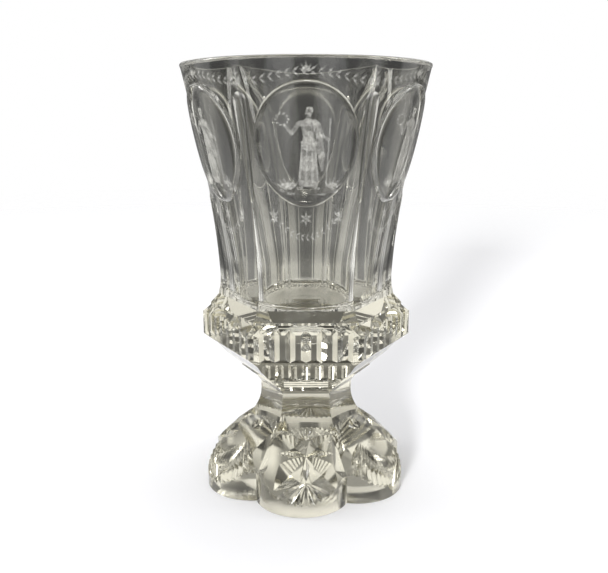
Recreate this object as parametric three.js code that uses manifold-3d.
// A heavy cut-glass goblet: bowl, collar, stem and foot, joined hot on flat faces and a round plug.
// Millimetres, +Z up, the table at z = 0, the first medallion facing -Y.

import * as THREE from 'three';
import { mergeVertices } from 'three/addons/utils/BufferGeometryUtils.js';
import Module from 'manifold-3d';

const wasm = await Module();
wasm.setup();

// The form has six sides: the lobes, the flat faces and the medallions share one direction.
const sides = 6;
const sideAngle = (2 * Math.PI) / sides;
const flatToCorner = 1 / Math.cos(sideAngle / 2);

// Foot: six round lobes with a domed top that runs up into a six-sided flare
const lobeRadius = 17;
const lobeOffset = 21.7;
const lobeTurn = THREE.MathUtils.degToRad(-3.3);
const lobeSegments = 48;
const footEdgeHeight = 4.9;
const footHeight = 32.2;
const domeHandleRadius = 30.2;
const domeHandleHeight = 17.4;
const domeTopRadius = 16.5;
const domeTopHeight = 24.2;
const domeSteps = 7;
const domeSegments = 48;
const domeOverhang = 1;
const flareRadius = 23.5;
const flareBottom = 15;
const flareHeight = 20;
const flareHandleHeight = 26.5;
const flareSteps = 6;

// Stem: a six-sided waist that opens in three fine steps below the collar
const waistRadius = 16.9;
const stemHeight = 9.8;
const waistHeight = 3.2;
const stemStepCount = 3;
const stemStepRise = 0.45;
const stemNeckRadius = 19.2;
const stemNeckHeight = 6.1;

// Collar: a six-sided ring with a fluted belt
const collarHeight = 27.2;
const collarFootRadius = 24;
const collarTopRadius = 32;
const beltRadius = 38.1;
const beltBottom = 11.8;
const beltTop = 20.4;
const underLedgeRadius = 32.8;
const underLedgeHeight = 7.9;
const underLineRadius = 30.4;
const underLineHeight = 5.2;
const ledgeRadius = 35.1;
const ledgeBottom = 22.9;
const ledgeTop = 23.8;
const fluteCount = 7;
const flutePitch = 5.2;
const fluteWidth = 3.4;
const fluteDepth = 1.5;

// Bowl: six-sided below, nearly round at the rim
const bowlHeight = 80.8;
const bowlWaistRadius = 31.2;
const bowlWaistHeight = 8;
const panelTopRadius = 34.2;
const panelTopHeight = 34.6;
const rimRadius = 43.5;
const lipRound = 0.7;
const rimRoundness = 0.92;
const panelEdgeAngle = THREE.MathUtils.degToRad(12);
const panelBlend = 5;
const bowlSegments = 60;
const panelRows = 3;
const wallRows = 6;

// Plug: the round foot of the bowl, fused into a seat in the top of the collar
const plugRadius = 26.2;
const plugHeight = 3.2;

// Cavity: round and smooth, with a flat floor just below the top of the collar
const mouthRadius = 39.6;
const cavityWaistRadius = 24;
const cavityWaistHeight = 10;
const cavityFloor = -1.2;
const cavityCorner = 3;
const cavityLipFlare = 0.6;
const cavitySag = 1;
const cavitySegments = 48;
const cavityCornerSteps = 4;
const cavityRows = 4;

// Medallions: six raised ovals with a bevelled border
const medallionHeight = 54.4;
const medallionHalfWidth = 13.6;
const medallionHalfHeight = 18.8;
const medallionBevel = 2.8;
const medallionRelief = 1.5;
const medallionRoot = 1.6;
const medallionSink = 0.35;
const medallionSegments = 32;

// Lancets: a tall round-topped flute on each corner between two medallions
const lancetBottom = 37.5;
const lancetTop = 61;
const lancetWheelRadius = 4.2;
const lancetDepthBelow = 0.4;
const lancetDepthAbove = 1.15;
const lancetSegments = 24;

// Mitre cuts on the foot: pointed V grooves. Star lobes and fan lobes take turns round the foot.
// A turn is measured from the way outwards, on both hands of the middle of the lobe.
const mitreLiftShare = 0.045;
const valleyRadius = 21.2;
const valleyWidth = 10;
const valleyDepth = 2.6;
const starRadius = 27.6;
const lowerArmTurn = THREE.MathUtils.degToRad(57);
const lowerArmReach = 13.3;
const lowerArmWidth = 8;
const lowerArmDepth = 1.6;
const sideArmTurn = THREE.MathUtils.degToRad(102);
const sideArmReach = 10.2;
const sideArmWidth = 1.8;
const sideArmDepth = 0.5;
const upperArmTurn = THREE.MathUtils.degToRad(134);
const upperArmReach = 11.8;
const upperArmWidth = 6.4;
const upperArmDepth = 1.3;
const rayWidth = 2.2;
const rayDepth = 0.7;
const tipFanRadius = 34.3;
const tipFanRays = 9;
const tipFanSpread = THREE.MathUtils.degToRad(150);
const neckFanRadius = 22.6;
const neckFanRays = 7;
const neckFanSpread = THREE.MathUtils.degToRad(100);
const neckFanReach = 4.6;
const edgeFanRadius = 24.5;
const edgeFanRays = 19;
const edgeFanSpread = THREE.MathUtils.degToRad(150);
const edgeFanShare = 0.7;
const edgeRayWidth = 2.4;
const edgeRayDepth = 0.9;

// Clear, faintly warm lead glass
const glassColor = '#d9d8cb';
const glassRoughness = 0.04;

// Precision of the working steps
const weldDistance = 1e-5;
const sliverWidth = 0.004;
const halvings = 24;
const lancetCapSegments = 6;

const stemBase = footHeight;
const collarBase = stemBase + stemHeight;
const bowlBase = collarBase + collarHeight;

// Turns a closed geometry into a solid that can be cut and joined.
function solidOf(geometry) {
  const plain = geometry.clone();
  plain.deleteAttribute('normal');
  plain.deleteAttribute('uv');
  const welded = mergeVertices(plain, weldDistance);
  const mesh = new wasm.Mesh({
    numProp: 3,
    vertProperties: new Float32Array(welded.attributes.position.array),
    triVerts: new Uint32Array(welded.index.array),
  });
  mesh.merge();
  return new wasm.Manifold(mesh);
}

function geometryOf(solid) {
  const mesh = solid.simplify(sliverWidth).getMesh();
  const geometry = new THREE.BufferGeometry();
  geometry.setAttribute('position', new THREE.BufferAttribute(mesh.vertProperties, 3));
  geometry.setIndex(new THREE.BufferAttribute(mesh.triVerts, 1));
  geometry.computeVertexNormals();
  return geometry;
}

// Revolves [radius, height] points about Z; with six segments the corners lie between the faces.
function revolve(points, segments, startAngle = 0) {
  const profile = points.map(([radius, height]) => new THREE.Vector2(radius, height));
  const geometry = new THREE.LatheGeometry(profile, segments, startAngle);
  return geometry.rotateX(Math.PI / 2);
}

function hexagonalSolid(points) {
  return solidOf(revolve(points, sides, sideAngle / 2));
}

function placed(geometry, position, xAxis, zAxis) {
  const yAxis = new THREE.Vector3().crossVectors(zAxis, xAxis);
  const matrix = new THREE.Matrix4().makeBasis(xAxis, yAxis, zAxis);
  return geometry.applyMatrix4(matrix.setPosition(position));
}

function joined(solids) {
  return solids.reduce((whole, solid) => whole.add(solid));
}

// Repeats a solid around the axis, once for each side.
function aroundAxis(solid, copies = sides) {
  const turned = [];
  for (let copy = 0; copy < copies; copy += 1) {
    turned.push(solid.rotate([0, 0, (copy * 360) / copies]));
  }
  return joined(turned);
}

// How far along a curve one of its coordinates reaches a value; the coordinate grows along it.
function shareAt(curve, coordinate, value) {
  let low = 0;
  let high = 1;
  for (let halving = 0; halving < halvings; halving += 1) {
    const middle = (low + high) / 2;
    if (curve.getPoint(middle)[coordinate] < value) {
      low = middle;
    } else {
      high = middle;
    }
  }
  return low;
}

// A V groove between two places on a surface; one that runs out goes as far again beyond the edge.
// Its cutter is widest a little above the surface, so that it stays a V where the surface swells.
function mitreCut(from, to, width, depth, runsOut) {
  const along = new THREE.Vector3().subVectors(to.position, from.position);
  const lift = along.length() * mitreLiftShare;
  const length = along.length() * (runsOut ? 2 : 1);
  const centre = new THREE.Vector3().lerpVectors(from.position, to.position, runsOut ? 1 : 0.5);
  along.normalize();
  const normal = new THREE.Vector3().addVectors(from.normal, to.normal);
  normal.addScaledVector(along, -normal.dot(along)).normalize();
  const groove = new THREE.OctahedronGeometry((depth + lift) / depth);
  groove.scale(length / 2, width / 2, depth).translate(0, 0, lift);
  return solidOf(placed(groove, centre, along, normal));
}

// Foot

const domeCurve = new THREE.QuadraticBezierCurve(
  new THREE.Vector2(domeTopRadius, domeTopHeight),
  new THREE.Vector2(domeHandleRadius, domeHandleHeight),
  new THREE.Vector2(lobeOffset + lobeRadius, footEdgeHeight),
);

// A place on the dome: its position and the way out of the glass.
function domePlace(angle, radius) {
  const share = shareAt(domeCurve, 'x', radius);
  const point = domeCurve.getPoint(share);
  const tangent = domeCurve.getTangent(share);
  const position = new THREE.Vector3(Math.sin(angle) * radius, -Math.cos(angle) * radius, point.y);
  const normal = new THREE.Vector3(
    -Math.sin(angle) * tangent.y, Math.cos(angle) * tangent.y, tangent.x,
  );
  return { position, normal };
}

// A place on a lobe, seen from above: so far off from a place on its middle line, at a turn.
function lobePlace(angle, radius, turn, reach) {
  const out = radius + reach * Math.cos(turn);
  const aside = reach * Math.sin(turn);
  return domePlace(angle + Math.atan2(aside, out), Math.hypot(out, aside));
}

function dome() {
  const rim = lobeOffset + lobeRadius + domeOverhang;
  const top = domeCurve.getPoints(domeSteps).map((point) => [point.x, point.y]).reverse();
  return solidOf(revolve(
    [[0, 0], [rim, 0], [rim, footEdgeHeight], ...top, [0, domeTopHeight]],
    domeSegments,
  ));
}

function flare() {
  const curve = new THREE.QuadraticBezierCurve(
    new THREE.Vector2(flareRadius, flareHeight),
    new THREE.Vector2(waistRadius, flareHandleHeight),
    new THREE.Vector2(waistRadius, footHeight),
  );
  const side = curve.getPoints(flareSteps).map((point) => [point.x, point.y]);
  return hexagonalSolid([[0, flareBottom], [flareRadius, flareBottom], ...side, [0, footHeight]]);
}

function lobes() {
  const lobe = new THREE.CylinderGeometry(lobeRadius, lobeRadius, footHeight, lobeSegments);
  lobe.rotateX(Math.PI / 2);
  lobe.translate(0, -lobeOffset, footHeight / 2);
  lobe.rotateZ(lobeTurn);
  const core = new THREE.CylinderGeometry(lobeOffset, lobeOffset, footHeight, sides);
  core.rotateX(Math.PI / 2);
  core.rotateZ(sideAngle / 2 + lobeTurn);
  core.translate(0, 0, footHeight / 2);
  return aroundAxis(solidOf(lobe)).add(solidOf(core));
}

// The deep groove that runs down between two lobes and opens at the notch.
function valley() {
  const halfSide = sideAngle / 2;
  const angle = halfSide + lobeTurn;
  const notch = lobeOffset * Math.cos(halfSide)
    + Math.sqrt(lobeRadius ** 2 - (lobeOffset * Math.sin(halfSide)) ** 2);
  const start = domePlace(angle, valleyRadius);
  return mitreCut(start, domePlace(angle, notch), valleyWidth, valleyDepth, true);
}

function fanTurns(middle, rays, spread) {
  return Array.from({ length: rays }, (_, ray) => middle + spread * (ray / (rays - 1) - 0.5));
}

// Rays that run out over the edge of a lobe, each along a share of the way from the middle.
function edgeFan(angle, radius, turns, share, width, depth) {
  const inset = radius - lobeOffset;
  return joined(turns.map((turn) => {
    const chord = Math.sqrt(lobeRadius ** 2 - (inset * Math.sin(turn)) ** 2);
    const reach = chord - inset * Math.cos(turn);
    const start = lobePlace(angle, radius, turn, reach * (1 - share));
    return mitreCut(start, lobePlace(angle, radius, turn, reach), width, depth, true);
  }));
}

// The short rays that stand on one point below the flare.
function neckFan(angle) {
  const start = domePlace(angle, neckFanRadius);
  return joined(fanTurns(Math.PI, neckFanRays, neckFanSpread).map((turn) => {
    const end = lobePlace(angle, neckFanRadius, turn, neckFanReach);
    return mitreCut(start, end, rayWidth, rayDepth, false);
  }));
}

// Two arms of a star, one on either hand of the middle of the lobe.
function starArms(angle, turn, reach, width, depth) {
  const middle = domePlace(angle, starRadius);
  return joined([-turn, turn].map((way) => {
    const end = lobePlace(angle, starRadius, way, reach);
    return mitreCut(middle, end, width, depth, false);
  }));
}

// A star lobe: broad arms that cross in one point, and a fan that runs out over the tip.
function starLobe(angle) {
  const tip = domePlace(angle, tipFanRadius);
  return joined([
    neckFan(angle),
    edgeFan(angle, tipFanRadius, fanTurns(0, tipFanRays, tipFanSpread), 1, rayWidth, rayDepth),
    mitreCut(domePlace(angle, starRadius), tip, rayWidth, rayDepth, false),
    starArms(angle, lowerArmTurn, lowerArmReach, lowerArmWidth, lowerArmDepth),
    starArms(angle, sideArmTurn, sideArmReach, sideArmWidth, sideArmDepth),
    starArms(angle, upperArmTurn, upperArmReach, upperArmWidth, upperArmDepth),
  ]);
}

// A fan lobe: long rays that are deepest where they cut through the edge of the lobe.
function fanLobe(angle) {
  const turns = fanTurns(0, edgeFanRays, edgeFanSpread);
  const rays = edgeFan(
    angle + lobeTurn, edgeFanRadius, turns, edgeFanShare, edgeRayWidth, edgeRayDepth,
  );
  return rays.add(neckFan(angle));
}

function footSolid() {
  const blank = dome().add(flare()).intersect(lobes());
  const pattern = aroundAxis(starLobe(0).add(fanLobe(sideAngle)), sides / 2);
  return blank.subtract(pattern).subtract(aroundAxis(valley()));
}

// Stem

function stemSolid() {
  const profile = [
    [0, 0],
    [waistRadius, 0],
    [waistRadius, waistHeight],
    [stemNeckRadius, stemNeckHeight],
  ];
  const stepOut = (collarFootRadius - stemNeckRadius) / stemStepCount;
  const stepUp = (stemHeight - stemNeckHeight) / stemStepCount;
  for (let step = 1; step <= stemStepCount; step += 1) {
    const radius = stemNeckRadius + stepOut * step;
    const top = stemNeckHeight + stepUp * step;
    profile.push([radius, top - stemStepRise], [radius, top]);
  }
  profile.push([0, stemHeight]);
  return hexagonalSolid(profile);
}

// Collar

function collarBlank() {
  return hexagonalSolid([
    [0, 0],
    [collarFootRadius, 0],
    [underLineRadius, underLineHeight],
    [underLedgeRadius, underLedgeHeight],
    [beltRadius, beltBottom],
    [beltRadius, beltTop],
    [ledgeRadius, ledgeBottom],
    [ledgeRadius, ledgeTop],
    [collarTopRadius, collarHeight],
    [0, collarHeight],
  ]);
}

// The upright V grooves on one face of the belt; they run out on the slopes above and below it.
function beltFlutes() {
  const faceDistance = beltRadius / flatToCorner;
  const section = new THREE.Shape();
  section.moveTo(0, fluteDepth);
  section.lineTo(-fluteWidth, -fluteDepth);
  section.lineTo(fluteWidth, -fluteDepth);
  const grooves = [];
  for (let flute = 0; flute < fluteCount; flute += 1) {
    const groove = new THREE.ExtrudeGeometry(section, { depth: collarHeight, bevelEnabled: false });
    const across = (flute - (fluteCount - 1) / 2) * flutePitch;
    grooves.push(solidOf(groove.translate(across, -faceDistance, 0)));
  }
  return joined(grooves);
}

// A round block as wide as the plug of the bowl and as its seat in the collar.
function plug(bottom, top) {
  const profile = [[0, bottom], [plugRadius, bottom], [plugRadius, top], [0, top]];
  return solidOf(revolve(profile, cavitySegments));
}

function collarSolid() {
  const seat = plug(collarHeight - plugHeight, collarHeight + plugHeight);
  return collarBlank().subtract(aroundAxis(beltFlutes())).subtract(seat);
}

// Bowl

// The corner radius of the wall, as a smooth curve through the foot, the waist, the panels and rim.
const wallCurve = new THREE.SplineCurve([
  new THREE.Vector2(0, collarTopRadius),
  new THREE.Vector2(bowlWaistHeight, bowlWaistRadius),
  new THREE.Vector2(panelTopHeight, panelTopRadius),
  new THREE.Vector2(bowlHeight, rimRadius),
]);

function cornerRadiusAt(height) {
  return wallCurve.getPoint(shareAt(wallCurve, 'x', height)).y;
}

// The angle from the middle of the nearest face, between zero and half a side.
function angleFromFace(angle) {
  const turned = THREE.MathUtils.euclideanModulo(angle + sideAngle / 2, sideAngle);
  return Math.abs(turned - sideAngle / 2);
}

// A hexagon whose faces swell towards a circle as the roundness grows from zero to one.
function swellingRadius(angle, height) {
  const corner = cornerRadiusAt(height);
  const roundness = (rimRoundness * height) / bowlHeight;
  const flat = Math.cos(angle) * flatToCorner;
  return corner / ((1 - roundness) * flat + roundness);
}

// Three flat panels on each face: one in the middle and one on either side of it.
function panelRadius(angle, height) {
  const edge = swellingRadius(panelEdgeAngle, height);
  if (angle <= panelEdgeAngle) {
    return (edge * Math.cos(panelEdgeAngle)) / Math.cos(angle);
  }
  const corner = cornerRadiusAt(height);
  const halfSide = sideAngle / 2;
  const span = edge * corner * Math.sin(halfSide - panelEdgeAngle);
  return span / (edge * Math.sin(angle - panelEdgeAngle) + corner * Math.sin(halfSide - angle));
}

function wallRadius(angle, height) {
  const away = angleFromFace(angle);
  const blend = THREE.MathUtils.clamp((height - panelTopHeight) / panelBlend, 0, 1);
  return THREE.MathUtils.lerp(panelRadius(away, height), swellingRadius(away, height), blend);
}

function wallPoint(angle, height, lift) {
  const radius = wallRadius(angle, height) + lift;
  return new THREE.Vector3(-radius * Math.sin(angle), -radius * Math.cos(angle), height);
}

function bowlBlank() {
  const profile = [[0, 0]];
  for (let row = 0; row < panelRows; row += 1) {
    profile.push([1, (panelTopHeight * row) / panelRows]);
  }
  for (let row = 0; row <= wallRows; row += 1) {
    const lip = row === wallRows ? lipRound : 0;
    profile.push([1, THREE.MathUtils.lerp(panelTopHeight, bowlHeight, row / wallRows) - lip]);
  }
  profile.push([1, bowlHeight], [0, bowlHeight]);
  const blank = revolve(profile, bowlSegments);
  const place = blank.attributes.position;
  for (let index = 0; index < place.count; index += 1) {
    const height = place.getZ(index);
    const reach = Math.hypot(place.getX(index), place.getY(index));
    const angle = Math.atan2(-place.getX(index), -place.getY(index));
    const lift = height === bowlHeight ? -lipRound : 0;
    const point = wallPoint(angle, height, lift);
    place.setXY(index, point.x * reach, point.y * reach);
  }
  return solidOf(blank);
}

function cavity() {
  const profile = [[0, cavityFloor]];
  for (let step = 0; step <= cavityCornerSteps; step += 1) {
    const turn = (Math.PI / 2) * (step / cavityCornerSteps);
    profile.push([
      cavityWaistRadius - cavityCorner * (1 - Math.sin(turn)),
      cavityFloor + cavityCorner * (1 - Math.cos(turn)),
    ]);
  }
  profile.push([cavityWaistRadius, cavityWaistHeight]);
  for (let row = 1; row <= cavityRows; row += 1) {
    const share = row / cavityRows;
    const height = THREE.MathUtils.lerp(cavityWaistHeight, bowlHeight - lipRound, share);
    const line = THREE.MathUtils.lerp(cavityWaistRadius, mouthRadius, share);
    profile.push([line - cavitySag * 4 * share * (1 - share), height]);
  }
  profile.push([mouthRadius + cavityLipFlare, bowlHeight]);
  profile.push([mouthRadius + cavityLipFlare, bowlHeight + lipRound]);
  profile.push([0, bowlHeight + lipRound]);
  return solidOf(revolve(profile, cavitySegments));
}

// A raised oval with a sloping border, bent to lie on the wall.
function medallion() {
  const outer = medallionHalfWidth + medallionBevel;
  const stretch = medallionHalfHeight - medallionHalfWidth;
  const profile = [
    [0, -medallionRoot],
    [outer, -medallionRoot],
    [outer, -medallionSink],
    [medallionHalfWidth, medallionRelief],
    [(medallionHalfWidth * 2) / 3, medallionRelief],
    [medallionHalfWidth / 3, medallionRelief],
    [0, medallionRelief],
  ];
  const oval = revolve(profile, medallionSegments);
  const bend = wallRadius(0, medallionHeight);
  const place = oval.attributes.position;
  for (let index = 0; index < place.count; index += 1) {
    const across = place.getX(index);
    const rise = place.getY(index);
    const lift = place.getZ(index);
    const reach = Math.hypot(across, rise);
    const longer = reach === 0 ? 1 : 1 + (stretch * Math.min(1, reach / medallionHalfWidth)) / reach;
    const point = wallPoint(-across / bend, medallionHeight + rise * longer, lift);
    place.setXYZ(index, point.x, point.y, point.z);
  }
  return solidOf(oval);
}

// The cutter of one lancet: a capsule that lies deeper in the wall at its round top.
function lancet() {
  const reachAt = (height, depth) => cornerRadiusAt(height) - depth + lancetWheelRadius;
  const bottom = new THREE.Vector3(0, -reachAt(lancetBottom, lancetDepthBelow), lancetBottom);
  const top = new THREE.Vector3(0, -reachAt(lancetTop, lancetDepthAbove), lancetTop);
  const along = new THREE.Vector3().subVectors(top, bottom);
  const capsule = new THREE.CapsuleGeometry(
    lancetWheelRadius, along.length(), lancetCapSegments, lancetSegments,
  );
  const middle = new THREE.Vector3().addVectors(top, bottom).divideScalar(2);
  const across = new THREE.Vector3(1, 0, 0);
  const upward = along.clone().normalize();
  const outward = new THREE.Vector3().crossVectors(across, upward);
  capsule.applyMatrix4(new THREE.Matrix4().makeBasis(across, upward, outward).setPosition(middle));
  return solidOf(capsule.rotateZ(sideAngle / 2));
}

function bowlSolid() {
  return bowlBlank()
    .add(plug(-plugHeight, plugHeight))
    .add(aroundAxis(medallion()))
    .subtract(aroundAxis(lancet()))
    .subtract(cavity());
}

// Scene graph

function glassPiece(name, solid, base) {
  const material = new THREE.MeshStandardMaterial({
    color: glassColor,
    roughness: glassRoughness,
    metalness: 0,
  });
  const mesh = new THREE.Mesh(geometryOf(solid), material);
  mesh.name = name;
  mesh.position.z = base;
  return mesh;
}

const goblet = new THREE.Group();
goblet.add(
  glassPiece('foot', footSolid(), 0),
  glassPiece('stem', stemSolid(), stemBase),
  glassPiece('collar', collarSolid(), collarBase),
  glassPiece('bowl', bowlSolid(), bowlBase),
);

export default goblet;
